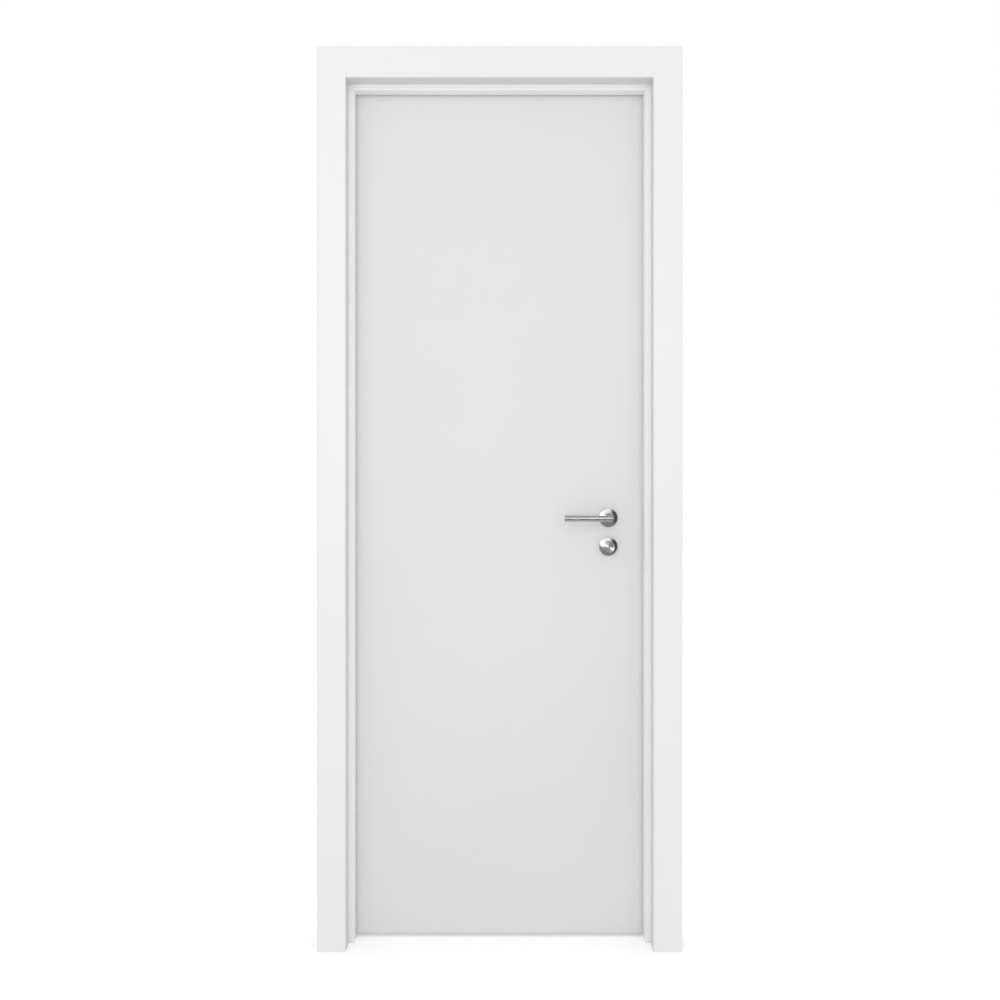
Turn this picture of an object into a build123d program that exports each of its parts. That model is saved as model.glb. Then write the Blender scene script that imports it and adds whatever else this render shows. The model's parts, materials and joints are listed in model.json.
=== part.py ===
"""White flush interior door in its frame: lining, stops, architraves, leaf, lock, lever handles, butt hinges.

Millimetres, +Z up. X runs from the hinge jamb to the lock jamb and Y from the push side to the pull side.
The origin lies on the hinge jamb's wall face, at floor level, midway through the wall.
"""

import os

from build123d import *

# Leaf
leaf_width = 735.0
leaf_height = 2110.0
leaf_thickness = 40.0
leaf_arris = 1.0
skin_thickness = 4.0
stile_width = 40.0
rail_height = 60.0

# Gaps around the leaf
hinge_gap = 5.0
lock_gap = 7.0
top_gap = 5.0
floor_gap = 8.0
stop_gap = 5.0

# Lining, stops and architraves
wall_thickness = 110.0
jamb_thickness = 25.0
stop_projection = 14.0
stop_depth = 35.0
stop_arris = 1.5
architrave_width = 70.0
head_architrave_height = 75.0
architrave_thickness = 10.0
architrave_arris = 2.0

# Bulb seal pressed into a kerf in the stop
kerf_width = 2.5
kerf_depth = 6.0
kerf_inset = 4.0
bulb_width = 6.0
bulb_to_leaf = 0.5

# Butt hinges
hinge_count = 3
hinge_length = 100.0
hinge_end_distance = 200.0
hinge_plate_depth = 30.0
hinge_plate_thickness = 2.5
knuckle_count = 5
knuckle_radius = 6.5
knuckle_face_clearance = 1.0
knuckle_end_clearance = 0.4
knuckle_notch_clearance = 0.5
pin_radius = 3.0
pin_head_radius = 5.5
pin_head_height = 4.0
pin_head_round = 2.5
running_clearance = 0.05
plate_screw_radius = 2.2
plate_screw_head_radius = 4.2
plate_screw_rows = 4
plate_screw_pitch = 24.0
plate_screw_stagger = 10.0

# Mortice lock and strike
lever_height = 1050.0
lock_centres = 72.0
backset = 94.0
faceplate_length = 235.0
faceplate_width = 20.0
faceplate_thickness = 3.0
case_height = 165.0
case_thickness = 15.0
case_behind_spindle = 28.0
latch_height = 28.0
latch_thickness = 11.0
latch_length = 45.0
latch_bevel = 9.0
latch_lip = 2.0
bolt_height = 40.0
bolt_thickness = 11.0
bolt_length = 50.0
bolt_arris = 0.8
lock_clearance = 0.3
strike_width = 18.0
strike_length = 200.0
strike_thickness = 2.0
strike_pocket_depth = 15.0
lock_screw_radius = 2.0
lock_screw_head_radius = 4.0
lock_screw_end_distance = 11.0

# Roses, lever handles and privacy turn
rose_radius = 23.0
rose_height = 9.0
rose_rim = 6.0
rose_dome_radius = 70.0
rose_arris = 0.5
seat_clearance = 0.5
lever_radius = 7.75
lever_projection = 45.0
lever_length = 112.0
lever_tip_round = 1.0
flare_radius = 13.5
flare_rim = 1.5
flare_height = 9.0
spindle_side = 8.0
spindle_socket_depth = 20.0
spindle_hole_radius = 7.0
turn_stem_radius = 6.0
turn_knob_radius = 14.0
turn_knob_height = 17.0
turn_knob_round = 1.5
turn_spindle_side = 5.0
turn_socket_depth = 8.0
turn_hole_radius = 5.0
release_radius = 9.0
release_height = 3.0
release_round = 0.8
release_slot_width = 2.0
release_slot_length = 12.0
release_slot_depth = 1.8

# Frame lines
hinge_jamb_x = jamb_thickness
leaf_hinge_x = hinge_jamb_x + hinge_gap
leaf_lock_x = leaf_hinge_x + leaf_width
lock_jamb_x = leaf_lock_x + lock_gap
frame_width = lock_jamb_x + jamb_thickness
leaf_bottom_z = floor_gap
leaf_top_z = leaf_bottom_z + leaf_height
opening_height = leaf_top_z + top_gap
frame_top_z = opening_height + head_architrave_height
wall_front_y = -wall_thickness / 2
wall_back_y = wall_thickness / 2

# Leaf lines: its pull face lies flush with the architraves behind
leaf_back_y = wall_back_y + architrave_thickness
leaf_front_y = leaf_back_y - leaf_thickness
leaf_middle_y = (leaf_front_y + leaf_back_y) / 2
core_front_y = leaf_front_y + skin_thickness
core_back_y = leaf_back_y - skin_thickness
hinge_stile_x = leaf_hinge_x + stile_width
lock_stile_x = leaf_lock_x - stile_width
stop_back_y = leaf_front_y - stop_gap
stop_front_y = stop_back_y - stop_depth
bulb_height = stop_gap - bulb_to_leaf

# Hinge lines
hinge_axis_x = hinge_jamb_x + hinge_gap / 2
hinge_axis_y = leaf_back_y + knuckle_face_clearance + knuckle_radius
hinge_plate_y = leaf_back_y - hinge_plate_depth
lowest_hinge_z = leaf_bottom_z + hinge_end_distance
hinge_spacing = (leaf_height - 2 * hinge_end_distance) / (hinge_count - 1)
hinge_heights = [lowest_hinge_z + i * hinge_spacing for i in range(hinge_count)]
hinge_names = ["bottom", "middle", "top"]
knuckle_length = hinge_length / knuckle_count

# Lock lines
lever_x = leaf_lock_x - backset
turn_height = lever_height - lock_centres
lock_middle_z = (lever_height + turn_height) / 2
faceplate_back_x = leaf_lock_x - faceplate_thickness
case_back_x = lever_x - case_behind_spindle
strike_back_x = lock_jamb_x + strike_thickness
bolt_openings = [
    (lever_height, latch_height + 2 * lock_clearance, latch_thickness + 2 * lock_clearance),
    (turn_height, bolt_height + 2 * lock_clearance, bolt_thickness + 2 * lock_clearance),
]

os.makedirs("parts", exist_ok=True)


def save(piece, name):
    """Label a finished piece and write it as its own STEP file."""
    piece.part.label = name
    export_step(piece.part, f"parts/{name}.step")


def block(x_span, y_span, z_span, mode=Mode.ADD):
    """A rectangular block between two limits on each axis, in the part being built."""
    spans = (x_span, y_span, z_span)
    with Locations(tuple((low + high) / 2 for low, high in spans)):
        Box(*(high - low for low, high in spans), mode=mode)


def mitre_plane(corner_x, outward, width, height):
    """The plane of a corner joint at the opening's top corner, facing the head piece."""
    return Plane(origin=(corner_x, 0, opening_height), x_dir=(0, 1, 0), z_dir=(-outward * height, 0, width))


def architrave_mitre(corner_x, outward):
    """The mitre between a side architrave and the taller head architrave."""
    return mitre_plane(corner_x, outward, architrave_width, head_architrave_height)


def stop_mitre(corner_x, outward):
    """The mitre between a side stop and the head stop, which project alike."""
    return mitre_plane(corner_x, outward, stop_projection, stop_projection)


def hinge_mortices(x_span, y_span):
    """Recesses for the hinge plates, in the part being built."""
    for z in hinge_heights:
        z_span = (z - hinge_length / 2, z + hinge_length / 2)
        block(x_span, y_span, z_span, mode=Mode.SUBTRACT)


def lock_edge_plane(x, z):
    """A plane on a door edge facing the lock jamb, with its first axis upwards."""
    return Plane(origin=(x, leaf_middle_y, z), x_dir=(0, 0, 1), z_dir=(1, 0, 0))


def turned_plane(z, face_y, outward):
    """A plane through a handle axis: its first axis is the radius, its second leaves the leaf's face."""
    return Plane(origin=(lever_x, face_y, z), x_dir=(1, 0, 0), z_dir=(0, 0, outward))


def spindle_holes():
    """Holes through the leaf for the lever spindle and the turn spindle, in the part being built."""
    for z, radius in ((lever_height, spindle_hole_radius), (turn_height, turn_hole_radius)):
        with Locations(Plane(origin=(lever_x, leaf_middle_y, z), z_dir=(0, 1, 0))):
            Cylinder(radius, leaf_thickness, mode=Mode.SUBTRACT)


# Lining: two jambs under a head
frame_plate_x = (hinge_jamb_x - hinge_plate_thickness, hinge_jamb_x)
with BuildPart() as hinge_jamb:
    block((0, hinge_jamb_x), (wall_front_y, wall_back_y), (0, opening_height))
    hinge_mortices(frame_plate_x, (hinge_plate_y, wall_back_y))
save(hinge_jamb, "hinge_jamb")

with BuildPart() as lock_jamb:
    block((lock_jamb_x, frame_width), (wall_front_y, wall_back_y), (0, opening_height))
    with BuildSketch(lock_edge_plane(lock_jamb_x, lock_middle_z)):
        SlotOverall(strike_length, strike_width)
    extrude(amount=strike_thickness, mode=Mode.SUBTRACT)
    for z, height, thickness in bolt_openings:
        block(
            (strike_back_x, strike_back_x + strike_pocket_depth),
            (leaf_middle_y - thickness / 2, leaf_middle_y + thickness / 2),
            (z - height / 2, z + height / 2),
            mode=Mode.SUBTRACT,
        )
save(lock_jamb, "lock_jamb")

with BuildPart() as head_jamb:
    block((0, frame_width), (wall_front_y, wall_back_y), (opening_height, opening_height + jamb_thickness))
save(head_jamb, "head_jamb")


# Architraves: flat boards with eased front edges, mitred at the top corners
def side_architrave(name, edge_x, outward, wall_face_y, out_of_wall, takes_hinges=False):
    """One upright architrave, whose inner edge lies flush with the jamb's face."""
    with BuildPart() as board:
        with BuildSketch(Plane.XY) as section:
            middle_x = edge_x + outward * architrave_width / 2
            with Locations((middle_x, wall_face_y + out_of_wall * architrave_thickness / 2)):
                Rectangle(architrave_width, architrave_thickness)
            exposed = section.vertices().sort_by(Axis.Y)
            fillet(exposed[:2] if out_of_wall < 0 else exposed[-2:], architrave_arris)
        extrude(amount=frame_top_z)
        split(bisect_by=architrave_mitre(edge_x, outward), keep=Keep.BOTTOM)
        if takes_hinges:
            hinge_mortices(frame_plate_x, (wall_back_y, leaf_back_y))
    save(board, name)


def head_architrave(name, wall_face_y, out_of_wall):
    """The architrave across the top, cut to the two side mitres."""
    with BuildPart() as board:
        with BuildSketch(Plane.YZ.offset(hinge_jamb_x - architrave_width)) as section:
            middle_z = opening_height + head_architrave_height / 2
            with Locations((wall_face_y + out_of_wall * architrave_thickness / 2, middle_z)):
                Rectangle(architrave_thickness, head_architrave_height)
            exposed = section.vertices().sort_by(Axis.X)
            fillet(exposed[:2] if out_of_wall < 0 else exposed[-2:], architrave_arris)
        extrude(amount=lock_jamb_x - hinge_jamb_x + 2 * architrave_width)
        split(bisect_by=architrave_mitre(hinge_jamb_x, -1), keep=Keep.TOP)
        split(bisect_by=architrave_mitre(lock_jamb_x, 1), keep=Keep.TOP)
    save(board, name)


side_architrave("front_architrave_hinge_side", hinge_jamb_x, -1, wall_front_y, -1)
side_architrave("front_architrave_lock_side", lock_jamb_x, 1, wall_front_y, -1)
head_architrave("front_architrave_head", wall_front_y, -1)
side_architrave("back_architrave_hinge_side", hinge_jamb_x, -1, wall_back_y, 1, takes_hinges=True)
side_architrave("back_architrave_lock_side", lock_jamb_x, 1, wall_back_y, 1)
head_architrave("back_architrave_head", wall_back_y, 1)


# Stops: strips planted on the lining, with an eased edge in front and a kerf behind for the seal
def side_stop(name, edge_x, inward):
    """One upright stop strip."""
    with BuildPart() as strip:
        with BuildSketch(Plane.XY) as section:
            with Locations((edge_x + inward * stop_projection / 2, (stop_front_y + stop_back_y) / 2)):
                Rectangle(stop_projection, stop_depth)
            front_corners = section.vertices().sort_by(Axis.Y)[:2].sort_by(Axis.X)
            fillet(front_corners[-1] if inward > 0 else front_corners[0], stop_arris)
            with Locations((edge_x + inward * (stop_projection - kerf_inset), stop_back_y - kerf_depth / 2)):
                Rectangle(kerf_width, kerf_depth, mode=Mode.SUBTRACT)
        extrude(amount=opening_height)
        split(bisect_by=stop_mitre(edge_x, -inward), keep=Keep.BOTTOM)
    save(strip, name)


side_stop("hinge_side_stop", hinge_jamb_x, 1)
side_stop("lock_side_stop", lock_jamb_x, -1)

stop_bottom_z = opening_height - stop_projection
with BuildPart() as head_stop:
    with BuildSketch(Plane.YZ.offset(hinge_jamb_x)) as head_stop_section:
        with Locations(((stop_front_y + stop_back_y) / 2, opening_height - stop_projection / 2)):
            Rectangle(stop_depth, stop_projection)
        fillet(head_stop_section.vertices().sort_by(Axis.X)[:2].sort_by(Axis.Y)[0], stop_arris)
        with Locations((stop_back_y - kerf_depth / 2, stop_bottom_z + kerf_inset)):
            Rectangle(kerf_depth, kerf_width, mode=Mode.SUBTRACT)
    extrude(amount=lock_jamb_x - hinge_jamb_x)
    split(bisect_by=stop_mitre(hinge_jamb_x, -1), keep=Keep.TOP)
    split(bisect_by=stop_mitre(lock_jamb_x, 1), keep=Keep.TOP)
save(head_stop, "head_stop")


# Seals: a round bulb on a stem that fills the kerf
def seal_section(plane):
    """The seal's cross section, with its first axis across the kerf and its second towards the leaf."""
    half_bulb = bulb_width / 2
    half_stem = kerf_width / 2
    with BuildSketch(plane) as section:
        with BuildLine():
            ThreePointArc((-half_bulb, 0), (0, bulb_height), (half_bulb, 0))
            Polyline(
                (half_bulb, 0),
                (half_stem, 0),
                (half_stem, -kerf_depth),
                (-half_stem, -kerf_depth),
                (-half_stem, 0),
                (-half_bulb, 0),
            )
        make_face()
    return section.sketch


def side_seal(name, edge_x, inward):
    """One upright seal, mitred at its top end."""
    kerf_x = edge_x + inward * (stop_projection - kerf_inset)
    with BuildPart() as strip:
        extrude(seal_section(Plane(origin=(kerf_x, stop_back_y, 0))), amount=opening_height)
        split(bisect_by=stop_mitre(edge_x, -inward), keep=Keep.BOTTOM)
    save(strip, name)


side_seal("hinge_side_seal", hinge_jamb_x, 1)
side_seal("lock_side_seal", lock_jamb_x, -1)

head_kerf = (hinge_jamb_x, stop_back_y, stop_bottom_z + kerf_inset)
with BuildPart() as head_seal:
    head_seal_section = seal_section(Plane(origin=head_kerf, x_dir=(0, 0, -1), z_dir=(1, 0, 0)))
    extrude(head_seal_section, amount=lock_jamb_x - hinge_jamb_x)
    split(bisect_by=stop_mitre(hinge_jamb_x, -1), keep=Keep.TOP)
    split(bisect_by=stop_mitre(lock_jamb_x, 1), keep=Keep.TOP)
save(head_seal, "head_seal")

# Leaf: two skins on a frame of stiles and rails around a core
leaf_plate_x = (leaf_hinge_x, leaf_hinge_x + hinge_plate_thickness)
leaf_x = (leaf_hinge_x, leaf_lock_x)
leaf_z = (leaf_bottom_z, leaf_top_z)
with BuildPart() as front_skin:
    block(leaf_x, (leaf_front_y, core_front_y), leaf_z)
    fillet(front_skin.faces().sort_by(Axis.Y)[0].edges(), leaf_arris)
    spindle_holes()
save(front_skin, "leaf_front_skin")

with BuildPart() as back_skin:
    block(leaf_x, (core_back_y, leaf_back_y), leaf_z)
    fillet(back_skin.faces().sort_by(Axis.Y)[-1].edges(), leaf_arris)
    spindle_holes()
    hinge_mortices(leaf_plate_x, (core_back_y, leaf_back_y))
save(back_skin, "leaf_back_skin")

core_y = (core_front_y, core_back_y)
with BuildPart() as hinge_stile:
    block((leaf_hinge_x, hinge_stile_x), core_y, leaf_z)
    hinge_mortices(leaf_plate_x, (hinge_plate_y, core_back_y))
save(hinge_stile, "leaf_hinge_stile")

case_room_y = (
    leaf_middle_y - case_thickness / 2 - lock_clearance,
    leaf_middle_y + case_thickness / 2 + lock_clearance,
)
case_room_z = (
    lock_middle_z - case_height / 2 - lock_clearance,
    lock_middle_z + case_height / 2 + lock_clearance,
)
case_room_x = (case_back_x - lock_clearance, faceplate_back_x)
with BuildPart() as lock_stile:
    block((lock_stile_x, leaf_lock_x), core_y, leaf_z)
    with BuildSketch(lock_edge_plane(faceplate_back_x, lock_middle_z)):
        SlotOverall(faceplate_length, faceplate_width)
    extrude(amount=faceplate_thickness, mode=Mode.SUBTRACT)
    block(case_room_x, case_room_y, case_room_z, mode=Mode.SUBTRACT)
save(lock_stile, "leaf_lock_stile")

core_x = (hinge_stile_x, lock_stile_x)
core_z = (leaf_bottom_z + rail_height, leaf_top_z - rail_height)
with BuildPart() as top_rail:
    block(core_x, core_y, (core_z[1], leaf_top_z))
save(top_rail, "leaf_top_rail")

with BuildPart() as bottom_rail:
    block(core_x, core_y, (leaf_bottom_z, core_z[0]))
save(bottom_rail, "leaf_bottom_rail")

with BuildPart() as leaf_core:
    block(core_x, core_y, core_z)
    block(case_room_x, case_room_y, case_room_z, mode=Mode.SUBTRACT)
    spindle_holes()
save(leaf_core, "leaf_core")


# Butt hinges: interleaved knuckles on a loose pin, with plates let in flush
def hinge_half(name, middle_z, side, plate_x, own_knuckles):
    """One half of a hinge: side is -1 for the half on the jamb and 1 for the half on the leaf."""
    bottom_z = middle_z - hinge_length / 2
    with BuildPart() as half:
        block(plate_x, (hinge_plate_y, hinge_axis_y), (bottom_z, bottom_z + hinge_length))
        for i in range(knuckle_count):
            low_z = bottom_z + i * knuckle_length
            if i in own_knuckles:
                lower_trim = knuckle_end_clearance / 2 if i > 0 else 0
                upper_trim = knuckle_end_clearance / 2 if i < knuckle_count - 1 else 0
                with BuildSketch(Plane.XY.offset(low_z + lower_trim)):
                    with Locations((hinge_axis_x, hinge_axis_y)):
                        Circle(knuckle_radius)
                extrude(amount=knuckle_length - lower_trim - upper_trim)
            else:
                notch_y = hinge_axis_y - knuckle_radius - knuckle_notch_clearance
                block(plate_x, (notch_y, hinge_axis_y), (low_z, low_z + knuckle_length), mode=Mode.SUBTRACT)
        with BuildSketch(Plane.XY.offset(bottom_z)):
            with Locations((hinge_axis_x, hinge_axis_y)):
                Circle(pin_radius + running_clearance)
        extrude(amount=hinge_length, mode=Mode.SUBTRACT)
        gap_face_x = plate_x[1] if side < 0 else plate_x[0]
        screw_middle_y = hinge_plate_y + hinge_plate_depth / 2
        for row in range(plate_screw_rows):
            y = screw_middle_y + (-1) ** row * plate_screw_stagger / 2
            z = middle_z + (row - (plate_screw_rows - 1) / 2) * plate_screw_pitch
            with Locations(Plane(origin=(gap_face_x, y, z), z_dir=(-side, 0, 0))):
                CounterSinkHole(plate_screw_radius, plate_screw_head_radius, depth=2 * hinge_plate_thickness)
    save(half, name)


frame_knuckles = range(0, knuckle_count, 2)
leaf_knuckles = range(1, knuckle_count, 2)
for place, height in zip(hinge_names, hinge_heights):
    hinge_half(f"{place}_hinge_frame_half", height, -1, frame_plate_x, frame_knuckles)
    hinge_half(f"{place}_hinge_leaf_half", height, 1, leaf_plate_x, leaf_knuckles)

with BuildPart() as hinge_pin:
    Cylinder(pin_radius, hinge_length)
    for end in (-1, 1):
        with Locations((0, 0, end * (hinge_length + pin_head_height) / 2)):
            Cylinder(pin_head_radius, pin_head_height)
    end_faces = hinge_pin.faces().sort_by(Axis.Z)
    fillet(end_faces[0].edges() + end_faces[-1].edges(), pin_head_round)

with BuildPart() as hinge_pins:
    with Locations(*((hinge_axis_x, hinge_axis_y, z) for z in hinge_heights)):
        add(hinge_pin.part)
save(hinge_pins, "hinge_pins")


# Lock: a case behind its faceplate, with the latch and the bolt drawn back, and the strike on the jamb
def bolt_plate(name, x, size, screw_face_x, screw_direction):
    """A round-ended plate with openings for the latch and the bolt."""
    length, width, thickness = size
    with BuildPart() as plate:
        with BuildSketch(lock_edge_plane(x, lock_middle_z)):
            SlotOverall(length, width)
            for z, height, opening_width in bolt_openings:
                with Locations((z - lock_middle_z, 0)):
                    Rectangle(height, opening_width, mode=Mode.SUBTRACT)
        extrude(amount=thickness)
        screw_offset = length / 2 - lock_screw_end_distance
        for z in (lock_middle_z - screw_offset, lock_middle_z + screw_offset):
            with Locations(Plane(origin=(screw_face_x, leaf_middle_y, z), z_dir=(screw_direction, 0, 0))):
                CounterSinkHole(lock_screw_radius, lock_screw_head_radius, depth=2 * thickness)
    save(plate, name)


faceplate_size = (faceplate_length, faceplate_width, faceplate_thickness)
strike_size = (strike_length, strike_width, strike_thickness)
bolt_plate("lock_faceplate", faceplate_back_x, faceplate_size, leaf_lock_x, 1)
bolt_plate("strike_plate", lock_jamb_x, strike_size, lock_jamb_x, -1)

with BuildPart() as lock_case:
    block(
        (case_back_x, faceplate_back_x),
        (leaf_middle_y - case_thickness / 2, leaf_middle_y + case_thickness / 2),
        (lock_middle_z - case_height / 2, lock_middle_z + case_height / 2),
    )
    spindle_holes()
    for (z, height, thickness), length in zip(bolt_openings, (latch_length, bolt_length)):
        block(
            (leaf_lock_x - length - lock_clearance, faceplate_back_x),
            (leaf_middle_y - thickness / 2, leaf_middle_y + thickness / 2),
            (z - height / 2, z + height / 2),
            mode=Mode.SUBTRACT,
        )
save(lock_case, "lock_case")

with BuildPart() as latch:
    with BuildSketch(Plane.XY.offset(lever_height - latch_height / 2)):
        with BuildLine():
            latch_front_y = leaf_middle_y - latch_thickness / 2
            latch_back_y = leaf_middle_y + latch_thickness / 2
            Polyline(
                (leaf_lock_x - latch_length, latch_front_y),
                (leaf_lock_x - latch_bevel, latch_front_y),
                (leaf_lock_x, latch_back_y - latch_lip),
                (leaf_lock_x, latch_back_y),
                (leaf_lock_x - latch_length, latch_back_y),
                close=True,
            )
        make_face()
    extrude(amount=latch_height)
save(latch, "latch")

with BuildPart() as deadbolt:
    block(
        (leaf_lock_x - bolt_length, leaf_lock_x),
        (leaf_middle_y - bolt_thickness / 2, leaf_middle_y + bolt_thickness / 2),
        (turn_height - bolt_height / 2, turn_height + bolt_height / 2),
    )
    fillet(deadbolt.faces().sort_by(Axis.X)[-1].edges(), bolt_arris)
save(deadbolt, "deadbolt")


# Roses: turned discs with a shallow dome
def rose(name, z, face_y, outward, bore_radius):
    """One rose on a leaf face, bored for the stem that turns in it."""
    plane = turned_plane(z, face_y, outward)
    rim_edge = (rose_radius, rose_rim)
    bore_edge = (bore_radius, rose_height)
    with BuildPart() as disc:
        with BuildSketch(plane) as profile:
            with BuildLine():
                Polyline(bore_edge, (bore_radius, 0), (rose_radius, 0), rim_edge)
                RadiusArc(rim_edge, bore_edge, -rose_dome_radius)
            make_face()
            fillet(profile.vertices().group_by(Axis.X)[-1].sort_by(Axis.Y)[-1], rose_arris)
        revolve(axis=Axis(plane.origin, plane.y_dir))
    save(disc, name)


faces = {"front": (leaf_front_y, -1), "back": (leaf_back_y, 1)}
for side_name, (face_y, outward) in faces.items():
    rose(f"{side_name}_lever_rose", lever_height, face_y, outward, lever_radius + running_clearance)
    rose(f"{side_name}_turn_rose", turn_height, face_y, outward, turn_stem_radius + running_clearance)


# Lever handles: a round bar with a mitred elbow, on a neck that flares over the rose
def lever(name, face_y, outward):
    """One lever handle, pointing to the hinge side."""
    plane = turned_plane(lever_height, face_y, outward)
    flare_base = rose_height + seat_clearance
    flare_top = flare_base + flare_rim + flare_height
    with BuildPart() as handle:
        with BuildLine(plane):
            Polyline((0, seat_clearance), (0, lever_projection), (-lever_length, lever_projection))
        with BuildSketch(Plane(origin=plane.from_local_coords((0, seat_clearance, 0)), z_dir=plane.y_dir)):
            Circle(lever_radius)
        sweep(transition=Transition.RIGHT)
        fillet(handle.faces().sort_by(Axis.X)[0].edges(), lever_tip_round)
        with BuildSketch(plane):
            with BuildLine():
                rim = (flare_radius, flare_base + flare_rim)
                Polyline((0, flare_top), (0, flare_base), (flare_radius, flare_base), rim)
                hollow = (flare_radius, flare_top)
                EllipticalCenterArc(hollow, flare_radius - lever_radius, flare_height, 180, arc_size=90)
                Line((lever_radius, flare_top), (0, flare_top))
            make_face()
        revolve(axis=Axis(plane.origin, plane.y_dir))
        with Locations(plane.from_local_coords((0, seat_clearance + spindle_socket_depth / 2, 0))):
            Box(spindle_side, spindle_socket_depth, spindle_side, mode=Mode.SUBTRACT)
    save(handle, name)


for side_name, (face_y, outward) in faces.items():
    lever(f"{side_name}_lever", face_y, outward)

half_spindle = spindle_side / 2
spindle_reach = seat_clearance + spindle_socket_depth
with BuildPart() as lever_spindle:
    block(
        (lever_x - half_spindle, lever_x + half_spindle),
        (leaf_front_y - spindle_reach, leaf_back_y + spindle_reach),
        (lever_height - half_spindle, lever_height + half_spindle),
    )
save(lever_spindle, "lever_spindle")


# Privacy turn: a round knob in front, a coin-slot release behind, on one spindle
def turned_head(plane, radius, height, edge_round):
    """The outline of a stem and a wider head with a rounded edge, as one revolved part."""
    head_base = rose_height + seat_clearance
    head_top = head_base + height
    with BuildPart() as head:
        with BuildSketch(plane):
            with BuildLine():
                Polyline(
                    (0, head_top),
                    (0, seat_clearance),
                    (turn_stem_radius, seat_clearance),
                    (turn_stem_radius, head_base),
                    (radius, head_base),
                    (radius, head_top - edge_round),
                )
                RadiusArc((radius, head_top - edge_round), (radius - edge_round, head_top), -edge_round)
                Line((radius - edge_round, head_top), (0, head_top))
            make_face()
        revolve(axis=Axis(plane.origin, plane.y_dir))
        with Locations(plane.from_local_coords((0, seat_clearance + turn_socket_depth / 2, 0))):
            Box(turn_spindle_side, turn_socket_depth, turn_spindle_side, mode=Mode.SUBTRACT)
    return head


knob_plane = turned_plane(turn_height, leaf_front_y, -1)
turn_knob = turned_head(knob_plane, turn_knob_radius, turn_knob_height, turn_knob_round)
save(turn_knob, "turn_knob")

release_plane = turned_plane(turn_height, leaf_back_y, 1)
release_head = turned_head(release_plane, release_radius, release_height, release_round)
release_face = rose_height + seat_clearance + release_height
with BuildPart() as turn_release:
    add(release_head.part)
    with Locations(release_plane.from_local_coords((0, release_face - release_slot_depth / 2, 0))):
        Box(release_slot_length, release_slot_depth, release_slot_width, mode=Mode.SUBTRACT)
save(turn_release, "turn_release")

half_turn_spindle = turn_spindle_side / 2
turn_spindle_reach = seat_clearance + turn_socket_depth
with BuildPart() as turn_spindle:
    block(
        (lever_x - half_turn_spindle, lever_x + half_turn_spindle),
        (leaf_front_y - turn_spindle_reach, leaf_back_y + turn_spindle_reach),
        (turn_height - half_turn_spindle, turn_height + half_turn_spindle),
    )
save(turn_spindle, "turn_spindle")
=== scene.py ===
"""Looks for a white flush interior door in its frame: lacquer, brushed steel, screws and studio.

Metres, in the solids' own frame: +Z up, X from the hinge jamb to the lock jamb,
Y from the push side to the pull side.
"""

import json
import math

import bpy
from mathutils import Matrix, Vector


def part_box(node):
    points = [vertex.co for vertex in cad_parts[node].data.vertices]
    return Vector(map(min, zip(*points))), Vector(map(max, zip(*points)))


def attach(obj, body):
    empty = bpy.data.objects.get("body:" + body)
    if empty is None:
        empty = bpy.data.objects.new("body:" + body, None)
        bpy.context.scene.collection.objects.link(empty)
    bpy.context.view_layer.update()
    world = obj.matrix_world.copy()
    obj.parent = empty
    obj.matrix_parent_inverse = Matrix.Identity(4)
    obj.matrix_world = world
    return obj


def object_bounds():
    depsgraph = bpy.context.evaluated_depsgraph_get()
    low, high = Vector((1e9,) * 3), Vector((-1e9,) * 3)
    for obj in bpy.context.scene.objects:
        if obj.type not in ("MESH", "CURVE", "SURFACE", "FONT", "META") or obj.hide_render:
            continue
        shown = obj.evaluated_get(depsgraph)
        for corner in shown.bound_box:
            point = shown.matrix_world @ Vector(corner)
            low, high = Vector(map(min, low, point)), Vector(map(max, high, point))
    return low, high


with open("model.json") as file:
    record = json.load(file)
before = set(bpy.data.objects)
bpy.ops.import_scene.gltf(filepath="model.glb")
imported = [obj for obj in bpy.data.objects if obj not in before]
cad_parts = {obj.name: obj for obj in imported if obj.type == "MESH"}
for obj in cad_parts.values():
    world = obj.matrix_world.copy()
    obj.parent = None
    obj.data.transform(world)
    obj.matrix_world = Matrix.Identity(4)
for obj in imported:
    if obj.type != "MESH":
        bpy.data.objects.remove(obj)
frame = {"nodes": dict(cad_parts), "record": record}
cad_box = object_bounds()
nodes = frame["nodes"]

# Places read from the solids
front_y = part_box("front_architrave_head")[0].y
door_middle_x = (cad_box[0].x + cad_box[1].x) / 2
frame_gap_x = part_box("hinge_jamb")[1].x
leaf_gap_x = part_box("leaf_hinge_stile")[0].x
lever_rose_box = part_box("front_lever_rose")
turn_rose_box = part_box("front_turn_rose")
lever_axis = (lever_rose_box[0] + lever_rose_box[1]) / 2
turn_axis = (turn_rose_box[0] + turn_rose_box[1]) / 2

# Lacquer, rubber and board: noise counted per metre, and the range where most noise values lie
noise_low = 0.3
noise_high = 0.7
tone_drift = {"Scale": 1.7, "Detail": 2.0}
sheen_patches = {"Scale": 16.0, "Detail": 4.0}
peel_detail = 1.5
lacquer_tone_swing = 0.008
lacquer_roughness_swing = 0.03
lacquer_peel_size = 0.0028
lacquer_peel_depth = 0.000012

# Steel: noise on coordinates that are already counted in lines, and lines per metre along X, Y and Z
fine_lines = {"Scale": 1.0, "Detail": 3.0}
broad_bands = {"Scale": 0.12, "Detail": 1.0}
line_depth = 0.000001
lines_round_bar = (5000.0, 60.0, 60.0)
upright_lines = (3500.0, 3500.0, 30.0)
even_grain = (900.0, 900.0, 900.0)
rings_per_metre = 5000.0
bar_anisotropy = 0.9
quarter_turn = 0.25
handle_grey = (0.56, 0.56, 0.55)
rose_gloss = {"roughness": 0.18, "anisotropy": 0.3}
knob_gloss = {"roughness": 0.36, "anisotropy": 0.9}

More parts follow.
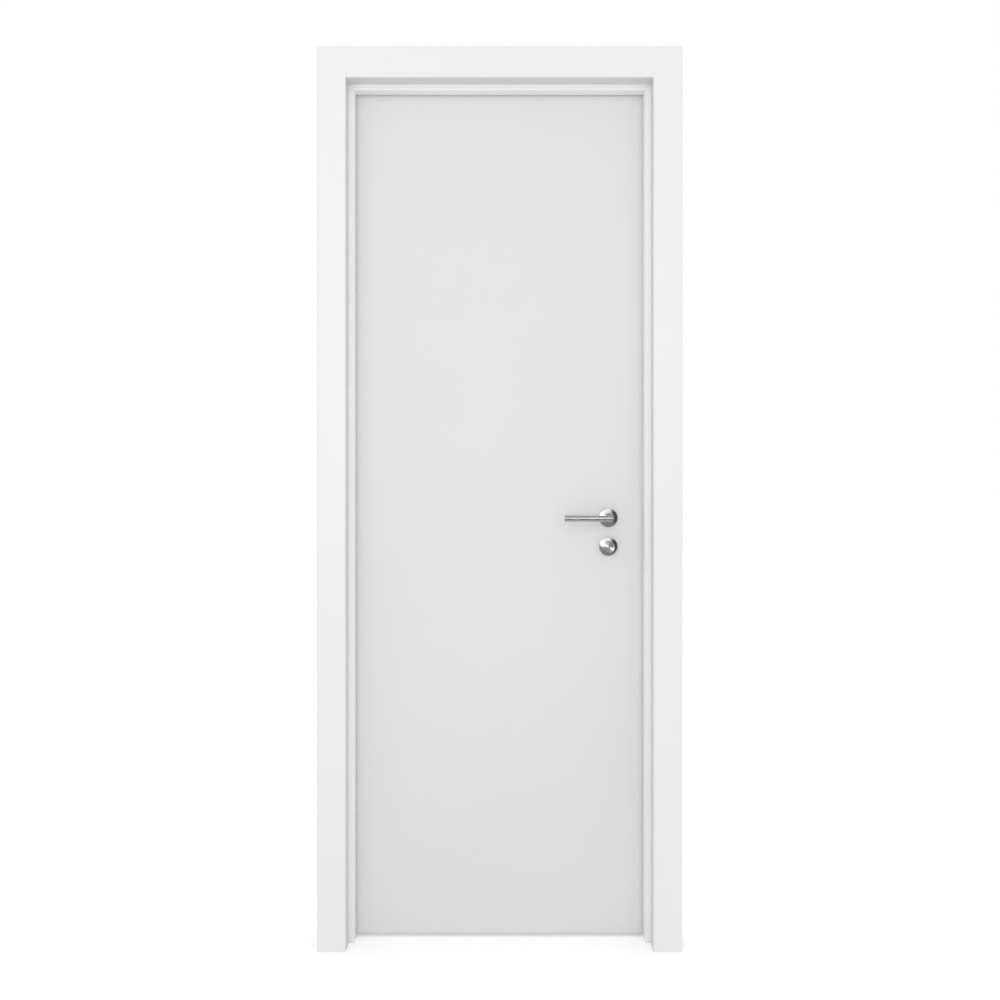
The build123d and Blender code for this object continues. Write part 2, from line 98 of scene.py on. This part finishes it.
# Screws
hinge_places = ("bottom", "middle", "top")
hinge_screw_rows = 4
hinge_screw_pitch = 0.024
hinge_screw_stagger = 0.010
hinge_screw_inset = 0.015
lock_screw_inset = 0.011
screw_sink = 0.0001
screw_sides = 40
screw_seed = 4

# Camera, from the photograph's frame
picture_pixels = 1000
picture_scale = 0.002425
floor_pixel = 952.4
middle_pixel = 499.6
horizon_pixel = 470
camera_distance = 2.60

# Studio
window_slant = math.radians(32)


def add_node(tree, kind, inputs=None, **settings):
    """Add a node, with inputs that are either values or the outputs of other nodes."""
    node = tree.nodes.new(kind)
    for name, value in settings.items():
        setattr(node, name, value)
    for key, value in (inputs or {}).items():
        if isinstance(value, bpy.types.NodeSocket):
            tree.links.new(value, node.inputs[key])
        else:
            node.inputs[key].default_value = value
    return node


def add_group_tree(name, kind, inputs, outputs):
    """A node group with named sockets, and the sockets inside it: those it is given and its results."""
    tree = bpy.data.node_groups.new(name, kind)
    for socket_name, socket_type, default in inputs:
        socket = tree.interface.new_socket(socket_name, in_out="INPUT", socket_type=socket_type)
        if default is not None:
            socket.default_value = default
    for socket_name, socket_type in outputs:
        tree.interface.new_socket(socket_name, in_out="OUTPUT", socket_type=socket_type)
    given = tree.nodes.new("NodeGroupInput").outputs
    result = tree.nodes.new("NodeGroupOutput").inputs
    return tree, given, result


def around(tree, source, middle, swing):
    """Turn a noise value into a number that swings about a middle."""
    low = add_node(tree, "ShaderNodeMath", {0: middle, 1: swing}, operation="SUBTRACT")
    high = add_node(tree, "ShaderNodeMath", {0: middle, 1: swing}, operation="ADD")
    inputs = {
        "Value": source,
        "From Min": noise_low,
        "From Max": noise_high,
        "To Min": low.outputs[0],
        "To Max": high.outputs[0],
    }
    return add_node(tree, "ShaderNodeMapRange", inputs).outputs["Result"]


def tinted(tree, colour, factor):
    """A colour made lighter or darker by a factor."""
    scaled = add_node(tree, "ShaderNodeVectorMath", {0: colour, "Scale": factor}, operation="SCALE")
    return scaled.outputs["Vector"]


# What every surface's node group gives
surface_outputs = [
    ("Color", "NodeSocketColor"),
    ("Roughness", "NodeSocketFloat"),
    ("Height", "NodeSocketFloat"),
]


def sprayed_film():
    """Node group: a sprayed film with orange peel, slow drifts of tone and patches of duller sheen."""
    tree, given, result = add_group_tree(
        "Sprayed film",
        "ShaderNodeTree",
        [
            ("Color", "NodeSocketColor", (0.8, 0.8, 0.8, 1.0)),
            ("Tone Swing", "NodeSocketFloat", 0.01),
            ("Roughness", "NodeSocketFloat", 0.4),
            ("Roughness Swing", "NodeSocketFloat", 0.05),
            ("Peel Size", "NodeSocketFloat", 0.003),
        ],
        surface_outputs,
    )
    place = add_node(tree, "ShaderNodeTexCoord").outputs["Object"]
    drift = add_node(tree, "ShaderNodeTexNoise", {"Vector": place, **tone_drift})
    factor = around(tree, drift.outputs["Fac"], 1.0, given["Tone Swing"])
    tree.links.new(tinted(tree, given["Color"], factor), result["Color"])
    patches = add_node(tree, "ShaderNodeTexNoise", {"Vector": place, **sheen_patches})
    dullness = around(tree, patches.outputs["Fac"], given["Roughness"], given["Roughness Swing"])
    tree.links.new(dullness, result["Roughness"])
    density = add_node(tree, "ShaderNodeMath", {0: 1.0, 1: given["Peel Size"]}, operation="DIVIDE")
    grain = {"Vector": place, "Scale": density.outputs[0], "Detail": peel_detail}
    peel = add_node(tree, "ShaderNodeTexNoise", grain)
    tree.links.new(peel.outputs["Fac"], result["Height"])
    return tree


def brushed_lines():
    """Node group: fine brushing along the direction in which the given coordinates are stretched."""
    tree, given, result = add_group_tree(
        "Brushed lines",
        "ShaderNodeTree",
        [
            ("Vector", "NodeSocketVector", None),
            ("Color", "NodeSocketColor", (0.55, 0.55, 0.55, 1.0)),
            ("Tone Swing", "NodeSocketFloat", 0.04),
            ("Roughness", "NodeSocketFloat", 0.3),
            ("Roughness Swing", "NodeSocketFloat", 0.06),
        ],
        surface_outputs,
    )
    fine = add_node(tree, "ShaderNodeTexNoise", {"Vector": given["Vector"], **fine_lines})
    broad = add_node(tree, "ShaderNodeTexNoise", {"Vector": given["Vector"], **broad_bands})
    factor = around(tree, fine.outputs["Fac"], 1.0, given["Tone Swing"])
    tree.links.new(tinted(tree, given["Color"], factor), result["Color"])
    dullness = around(tree, broad.outputs["Fac"], given["Roughness"], given["Roughness Swing"])
    tree.links.new(dullness, result["Roughness"])
    tree.links.new(fine.outputs["Fac"], result["Height"])
    return tree


film_group = sprayed_film()
lines_group = brushed_lines()


def new_material(name):
    """A new material with an empty node tree, and that tree."""
    material = bpy.data.materials.new(name)
    material.use_nodes = True
    material.node_tree.nodes.clear()
    return material, material.node_tree


def finish_material(tree, surface, depth, metallic):
    """Close a material: a Principled shader fed by a group's colour, roughness and height."""
    relief = {"Strength": 1.0, "Distance": depth, "Height": surface.outputs["Height"]}
    bump = add_node(tree, "ShaderNodeBump", relief)
    inputs = {
        "Base Color": surface.outputs["Color"],
        "Roughness": surface.outputs["Roughness"],
        "Metallic": metallic,
        "Normal": bump.outputs["Normal"],
    }
    shader = add_node(tree, "ShaderNodeBsdfPrincipled", inputs)
    add_node(tree, "ShaderNodeOutputMaterial", {"Surface": shader.outputs["BSDF"]})
    return shader


def film_material(name, values, depth):
    """A material of the sprayed film, with the film's values and the depth of its relief."""
    material, tree = new_material(name)
    film = add_node(tree, "ShaderNodeGroup", values, node_tree=film_group)
    finish_material(tree, film, depth, metallic=0.0)
    return material


def lacquer(name, colour, roughness):
    """White satin lacquer sprayed on board."""
    values = {
        "Color": (*colour, 1.0),
        "Tone Swing": lacquer_tone_swing,
        "Roughness": roughness,
        "Roughness Swing": lacquer_roughness_swing,
        "Peel Size": lacquer_peel_size,
    }
    return film_material(name, values, lacquer_peel_depth)


def moulded(name, colour, roughness, tone_swing, grain_size, grain_depth):
    """A dull material with an even grain, for rubber and raw board."""
    values = {
        "Color": (*colour, 1.0),
        "Tone Swing": tone_swing,
        "Roughness": roughness,
        "Peel Size": grain_size,
    }
    return film_material(name, values, grain_depth)


def finish_steel(tree, counted, colour, roughness):
    """Close a steel's material, with brushed lines on coordinates counted in lines."""
    values = {"Vector": counted, "Color": (*colour, 1.0), "Roughness": roughness}
    lines = add_node(tree, "ShaderNodeGroup", values, node_tree=lines_group)
    return finish_material(tree, lines, line_depth, metallic=1.0)


def spread_gloss(tree, shader, axis, anisotropy):
    """Spread a shader's gloss across brushing that circles an axis through the piece's middle."""
    shader.inputs["Anisotropic"].default_value = anisotropy
    shader.inputs["Anisotropic Rotation"].default_value = quarter_turn
    tangent = add_node(tree, "ShaderNodeTangent", direction_type="RADIAL", axis=axis)
    tree.links.new(tangent.outputs["Tangent"], shader.inputs["Tangent"])


def drawn_steel(name, colour, roughness, lines, round_axis=None):
    """Steel brushed in straight lines, or in lines round a bar where the bar's axis is given.

    The lines per metre are few along the brushing and many across it.
    """
    material, tree = new_material(name)
    place = add_node(tree, "ShaderNodeTexCoord").outputs["Object"]
    counted = add_node(tree, "ShaderNodeMapping", {"Vector": place, "Scale": lines})
    shader = finish_steel(tree, counted.outputs["Vector"], colour, roughness)
    if round_axis:
        spread_gloss(tree, shader, round_axis, bar_anisotropy)
    return material


def turned_steel(name, axis_point, roughness, anisotropy):
    """Steel brushed in circles about a handle's axis, which runs along Y."""
    material, tree = new_material(name)
    place = add_node(tree, "ShaderNodeTexCoord").outputs["Object"]
    centred = add_node(tree, "ShaderNodeMapping", {"Vector": place, "Location": -axis_point})
    parts = add_node(tree, "ShaderNodeSeparateXYZ", {"Vector": centred.outputs["Vector"]}).outputs
    flat = add_node(tree, "ShaderNodeCombineXYZ", {"X": parts["X"], "Z": parts["Z"]})
    radius = add_node(tree, "ShaderNodeVectorMath", {0: flat.outputs["Vector"]}, operation="LENGTH")
    rings = add_node(tree, "ShaderNodeCombineXYZ", {"X": radius.outputs["Value"], "Y": parts["Y"]})
    count = {"Vector": rings.outputs["Vector"], "Scale": (rings_per_metre,) * 3}
    counted = add_node(tree, "ShaderNodeMapping", count)
    shader = finish_steel(tree, counted.outputs["Vector"], handle_grey, roughness)
    spread_gloss(tree, shader, "Y", anisotropy)
    return material


# Finishes
frame_white = lacquer("frame_lacquer_white", (0.82, 0.82, 0.82), roughness=0.56)
# The jambs' lacquer is darker than the architraves' as painted shade on the reveals.
lining_white_painted_shade = lacquer("lining_lacquer_painted_shade", (0.70, 0.70, 0.70), roughness=0.56)
# The stops' lacquer is lighter than the architraves' as painted light on their fronts.
stop_white_painted_light = lacquer("stop_lacquer_painted_light", (0.92, 0.92, 0.92), roughness=0.56)
leaf_white = lacquer("leaf_lacquer_white", (0.74, 0.74, 0.74), roughness=0.6)
seal_grey = moulded(
    "seal_rubber_grey",
    (0.22, 0.22, 0.22),
    roughness=0.7,
    tone_swing=0.05,
    grain_size=0.0006,
    grain_depth=0.00002,
)
core_brown = moulded(
    "core_board_raw",
    (0.55, 0.42, 0.28),
    roughness=0.85,
    tone_swing=0.25,
    grain_size=0.003,
    grain_depth=0.0002,
)
lever_steel = drawn_steel(
    "lever_steel_brushed",
    handle_grey,
    roughness=0.34,
    lines=lines_round_bar,
    round_axis="X",
)
plate_steel = drawn_steel("plate_steel_brushed", (0.50, 0.50, 0.50), roughness=0.34, lines=upright_lines)
hinge_steel = drawn_steel("hinge_steel_brushed", (0.52, 0.52, 0.52), roughness=0.32, lines=upright_lines)
screw_steel = drawn_steel("screw_steel_plain", (0.45, 0.45, 0.45), roughness=0.3, lines=even_grain)
lever_rose_steel = turned_steel("lever_rose_steel_spun", lever_axis, **rose_gloss)
turn_rose_steel = turned_steel("turn_rose_steel_spun", turn_axis, **rose_gloss)
turn_steel = turned_steel("turn_steel_spun", turn_axis, **knob_gloss)

slot_finishes = {
    "frame_lacquer": frame_white,
    "leaf_lacquer": leaf_white,
    "core_board": core_brown,
    "seal_rubber": seal_grey,
    "lock_steel": plate_steel,
    "hinge_steel": hinge_steel,
}
piece_finishes = {
    "hinge_jamb": lining_white_painted_shade,
    "lock_jamb": lining_white_painted_shade,
    "head_jamb": lining_white_painted_shade,
    "hinge_side_stop": stop_white_painted_light,
    "lock_side_stop": stop_white_painted_light,
    "head_stop": stop_white_painted_light,
    "front_lever": lever_steel,
    "back_lever": lever_steel,
    "front_lever_rose": lever_rose_steel,
    "back_lever_rose": lever_rose_steel,
    "front_turn_rose": turn_rose_steel,
    "back_turn_rose": turn_rose_steel,
    "turn_knob": turn_steel,
    "turn_release": turn_steel,
}
for subpart in frame["record"]["subparts"]:
    name = subpart["node"]
    finish = piece_finishes.get(name) or slot_finishes[subpart["material_slot"]]
    nodes[name].material_slots[0].material = finish


# Screws: countersunk heads with a cross recess, in the plates' holes
def screw_tree():
    """Geometry Nodes: a screw head on every point, facing along the point's own direction."""
    tree, given, result = add_group_tree(
        "Countersunk screws",
        "GeometryNodeTree",
        [
            ("Points", "NodeSocketGeometry", None),
            ("Head Radius", "NodeSocketFloat", 0.004),
            ("Shank Radius", "NodeSocketFloat", 0.0021),
            ("Head Depth", "NodeSocketFloat", 0.0021),
            ("Recess Length", "NodeSocketFloat", 0.0046),
            ("Recess Width", "NodeSocketFloat", 0.001),
            ("Recess Depth", "NodeSocketFloat", 0.0014),
            ("Seed", "NodeSocketInt", 0),
            ("Material", "NodeSocketMaterial", None),
        ],
        [("Screws", "NodeSocketGeometry")],
    )
    cone_sizes = {
        "Vertices": screw_sides,
        "Radius Top": given["Head Radius"],
        "Radius Bottom": given["Shank Radius"],
        "Depth": given["Head Depth"],
    }
    cone = add_node(tree, "GeometryNodeMeshCone", cone_sizes)
    down = add_node(tree, "ShaderNodeMath", {0: given["Head Depth"], 1: -1.0}, operation="MULTIPLY")
    drop = add_node(tree, "ShaderNodeCombineXYZ", {"Z": down.outputs[0]})
    lowered = {"Geometry": cone.outputs["Mesh"], "Translation": drop.outputs[0]}
    head = add_node(tree, "GeometryNodeTransform", lowered).outputs["Geometry"]
    twice = add_node(tree, "ShaderNodeMath", {0: given["Recess Depth"], 1: 2.0}, operation="MULTIPLY")
    arms = []
    for along, across in (("Recess Length", "Recess Width"), ("Recess Width", "Recess Length")):
        sizes = {"X": given[along], "Y": given[across], "Z": twice.outputs[0]}
        size = add_node(tree, "ShaderNodeCombineXYZ", sizes)
        arms.append(add_node(tree, "GeometryNodeMeshCube", {"Size": size.outputs[0]}).outputs["Mesh"])
    cut = add_node(tree, "GeometryNodeMeshBoolean", {"Mesh 1": head}, operation="DIFFERENCE")
    for arm in arms:
        tree.links.new(arm, cut.inputs["Mesh 2"])
    facing = add_node(
        tree,
        "GeometryNodeInputNamedAttribute",
        {"Name": "facing"},
        data_type="FLOAT_VECTOR",
    )
    turned = add_node(
        tree,
        "FunctionNodeAlignRotationToVector",
        {"Vector": facing.outputs["Attribute"]},
        axis="Z",
    )
    placed = {
        "Points": given["Points"],
        "Instance": cut.outputs["Mesh"],
        "Rotation": turned.outputs["Rotation"],
    }
    heads = add_node(tree, "GeometryNodeInstanceOnPoints", placed)
    half_turns = {"Max": math.pi, "Seed": given["Seed"]}
    spin = add_node(tree, "FunctionNodeRandomValue", half_turns, data_type="FLOAT")
    angle = add_node(tree, "ShaderNodeCombineXYZ", {"Z": spin.outputs["Value"]})
    spun = {"Instances": heads.outputs["Instances"], "Rotation": angle.outputs[0]}
    driven = add_node(tree, "GeometryNodeRotateInstances", spun)
    real = add_node(tree, "GeometryNodeRealizeInstances", {"Geometry": driven.outputs["Instances"]})
    coat = {"Geometry": real.outputs["Geometry"], "Material": given["Material"]}
    coated = add_node(tree, "GeometryNodeSetMaterial", coat)
    tree.links.new(coated.outputs["Geometry"], result["Screws"])
    return tree


screws_group = screw_tree()


def input_identifier(tree, name):
    """The identifier of a node group's input, by which a modifier takes its value."""
    for item in tree.interface.items_tree:
        if item.name == name and item.in_out == "INPUT":
            return item.identifier


def driven_screws(name, body, places):
    """One plain mesh of all the screws on a body, from their places and the ways that they face."""
    mesh = bpy.data.meshes.new(f"{name}_places")
    mesh.from_pydata([place - facing * screw_sink for place, facing in places], [], [])
    facings = mesh.attributes.new("facing", "FLOAT_VECTOR", "POINT")
    for item, (_, facing) in zip(facings.data, places):
        item.vector = facing
    carrier = bpy.data.objects.new(f"{name}_places", mesh)
    bpy.context.scene.collection.objects.link(carrier)
    modifier = carrier.modifiers.new("screws", "NODES")
    modifier.node_group = screws_group
    modifier[input_identifier(screws_group, "Seed")] = screw_seed
    modifier[input_identifier(screws_group, "Material")] = screw_steel
    evaluated = carrier.evaluated_get(bpy.context.evaluated_depsgraph_get())
    screws = bpy.data.objects.new(name, bpy.data.meshes.new_from_object(evaluated))
    bpy.context.scene.collection.objects.link(screws)
    bpy.data.objects.remove(carrier)
    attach(screws, body)


def hinge_screw_places(half, face_x, facing):
    """Places of the screws in the plates of all the hinges' halves on one side of the gap."""
    places = []
    for hinge in hinge_places:
        low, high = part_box(f"{hinge}_hinge_{half}_half")
        middle_z = (low.z + high.z) / 2
        for row in range(hinge_screw_rows):
            y = low.y + hinge_screw_inset + (-1) ** row * hinge_screw_stagger / 2
            z = middle_z + (row - (hinge_screw_rows - 1) / 2) * hinge_screw_pitch
            places.append((Vector((face_x, y, z)), facing))
    return places


def plate_screw_places(plate, side, facing):
    """Places of the two screws at the ends of a lock plate; side picks its face towards the gap."""
    low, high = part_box(plate)
    face_x = (low.x, high.x)[side]
    middle_y = (low.y + high.y) / 2
    heights = (low.z + lock_screw_inset, high.z - lock_screw_inset)
    return [(Vector((face_x, middle_y, z)), facing) for z in heights]


to_lock_side = Vector((1.0, 0.0, 0.0))
to_hinge_side = Vector((-1.0, 0.0, 0.0))
frame_screw_places = hinge_screw_places("frame", frame_gap_x, to_lock_side)
frame_screw_places += plate_screw_places("strike_plate", 0, to_hinge_side)
driven_screws("frame_screws", "frame", frame_screw_places)
leaf_screw_places = hinge_screw_places("leaf", leaf_gap_x, to_hinge_side)
leaf_screw_places += plate_screw_places("lock_faceplate", 1, to_lock_side)
driven_screws("leaf_screws", "leaf", leaf_screw_places)


# Studio: a white floor and world, and on both sides a softbox and the cards that the metal mirrors
def seen_directly(tree):
    """One for rays from the camera, mirrors and glass, and zero for rays that light the object."""
    path = add_node(tree, "ShaderNodeLightPath")
    pair = {0: path.outputs["Is Camera Ray"], 1: path.outputs["Is Glossy Ray"]}
    first = add_node(tree, "ShaderNodeMath", pair, operation="MAXIMUM")
    rest = {0: first.outputs[0], 1: path.outputs["Is Transmission Ray"]}
    return add_node(tree, "ShaderNodeMath", rest, operation="MAXIMUM").outputs[0]


def white_world(ambient):
    """A world that looks white and lights the object softly."""
    world = bpy.data.worlds.new("studio_world")
    world.use_nodes = True
    tree = world.node_tree
    tree.nodes.clear()
    white = (1.0, 1.0, 1.0, 1.0)
    light = add_node(tree, "ShaderNodeBackground", {"Color": white, "Strength": ambient})
    backdrop = add_node(tree, "ShaderNodeBackground", {"Color": white, "Strength": 1.0})
    inputs = {0: seen_directly(tree), 1: light.outputs[0], 2: backdrop.outputs[0]}
    mixed = add_node(tree, "ShaderNodeMixShader", inputs)
    add_node(tree, "ShaderNodeOutputWorld", {"Surface": mixed.outputs[0]})
    bpy.context.scene.world = world


def flat_sheet(name, corners, material):
    """A four-cornered sheet in the scene."""
    mesh = bpy.data.meshes.new(name)
    mesh.from_pydata(corners, [], [(0, 1, 2, 3)])
    mesh.materials.append(material)
    sheet = bpy.data.objects.new(name, mesh)
    bpy.context.scene.collection.objects.link(sheet)
    return sheet


def white_floor(half_size, tone, near, near_lift, far, far_lift):
    """A pale floor that is seen as white, with less lift near the door, where the shadow stays."""
    material, tree = new_material("studio_floor")
    paint = add_node(tree, "ShaderNodeBsdfDiffuse", {"Color": (tone, tone, tone, 1.0)})
    place = add_node(tree, "ShaderNodeTexCoord").outputs["Object"]
    distance = add_node(tree, "ShaderNodeVectorMath", {0: place}, operation="LENGTH")
    grade = {
        "Value": distance.outputs["Value"],
        "From Min": near,
        "From Max": far,
        "To Min": near_lift,
        "To Max": far_lift,
    }
    lift = add_node(tree, "ShaderNodeMapRange", grade).outputs["Result"]
    strength = add_node(tree, "ShaderNodeMath", {0: seen_directly(tree), 1: lift}, operation="MULTIPLY")
    glow = add_node(tree, "ShaderNodeEmission", {"Strength": strength.outputs[0]})
    both = add_node(tree, "ShaderNodeAddShader", {0: paint.outputs[0], 1: glow.outputs[0]})
    add_node(tree, "ShaderNodeOutputMaterial", {"Surface": both.outputs[0]})
    corners = [(x * half_size, y * half_size, 0.0) for x, y in ((-1, -1), (1, -1), (1, 1), (-1, 1))]
    floor = flat_sheet("floor", corners, material)


def softbox(name, place, facing, width, height, power):
    """A broad area lamp that faces the door squarely, and that metal doesn't mirror."""
    lamp = bpy.data.lights.new(name, "AREA")
    lamp.shape = "RECTANGLE"
    lamp.size = width
    lamp.size_y = height
    lamp.energy = power
    box = bpy.data.objects.new(name, lamp)
    box.location = place
    box.rotation_euler = facing.to_track_quat("-Z", "Y").to_euler()
    box.visible_glossy = False
    box.visible_camera = False
    bpy.context.scene.collection.objects.link(box)


def reflection_card(name, middle, half_width, half_height, tone):
    """A flat card that only glossy surfaces see, spanned by two half-edges about its middle."""
    material, tree = new_material(name)
    glow = add_node(tree, "ShaderNodeEmission", {"Color": (tone, tone, tone, 1.0), "Strength": 1.0})
    add_node(tree, "ShaderNodeOutputMaterial", {"Surface": glow.outputs[0]})
    corners = [
        middle - half_width - half_height,
        middle + half_width - half_height,
        middle + half_width + half_height,
        middle - half_width + half_height,
    ]
    card = flat_sheet(name, corners, material)
    for ray in ("camera", "diffuse", "transmission", "volume_scatter", "shadow"):
        setattr(card, f"visible_{ray}", False)


def studio_side(name, outward):
    """The lamp and the cards on one side of the door; outward is -1 in front of it and 1 behind it."""

    def place(right, away, height):
        """A point by its distance to the viewer's right, away from the door and above the floor."""
        return Vector((door_middle_x - outward * right, outward * away, height))

    across = Vector((1.0, 0.0, 0.0))
    away = Vector((0.0, 1.0, 0.0))
    up = Vector((0.0, 0.0, 1.0))
    slant = outward * math.cos(window_slant) * across + math.sin(window_slant) * up
    across_slant = slant.cross(away)
    softbox(
        f"{name}_softbox",
        place(0.0, 3.6, 1.75),
        -outward * away,
        width=5.6,
        height=3.4,
        power=46.0,
    )
    # Each card's label, middle, two half-edges and tone
    cards = [
        ("wall", place(0.0, 4.6, 1.0), across * 4.0, up * 1.0, 0.3),
        ("ceiling", place(0.3, 1.3, 3.4), across * 4.0, away * 1.1, 0.4),
        ("right_floor", place(1.9, 2.4, 0.04), across * 2.1, away * 2.1, 0.32),
        ("left_floor", place(-2.3, 2.4, 0.04), across * 2.1, away * 2.1, 0.36),
        ("side", place(1.8, 2.3, 1.6), away * 2.2, up * 1.6, 0.08),
        ("window", place(-1.35, 4.5, 1.75), slant * 1.7, across_slant * 0.42, 8.0),
        ("skylight", place(-1.2, 4.5, 3.6), across * 2.4, up * 1.2, 1.6),
    ]
    for label, middle, half_width, half_height, tone in cards:
        reflection_card(f"{name}_{label}_card", middle, half_width, half_height, tone)


def add_camera():
    """A level camera square to the door, with its lens shifted so that uprights stay upright."""
    data = bpy.data.cameras.new("camera")
    data.lens = data.sensor_width * camera_distance / (picture_pixels * picture_scale)
    data.shift_y = (horizon_pixel - picture_pixels / 2) / picture_pixels
    camera = bpy.data.objects.new("camera", data)
    camera.location = (
        door_middle_x + (picture_pixels / 2 - middle_pixel) * picture_scale,
        front_y - camera_distance,
        (floor_pixel - horizon_pixel) * picture_scale,
    )
    camera.rotation_euler = (math.pi / 2, 0.0, 0.0)
    bpy.context.scene.collection.objects.link(camera)
    bpy.context.scene.camera = camera


white_world(ambient=0.8)
white_floor(half_size=12.0, tone=0.9, near=0.8, near_lift=0.27, far=4.0, far_lift=0.32)
studio_side("front", -1)
studio_side("back", 1)
add_camera()
bpy.context.scene.view_settings.view_transform = "Standard"
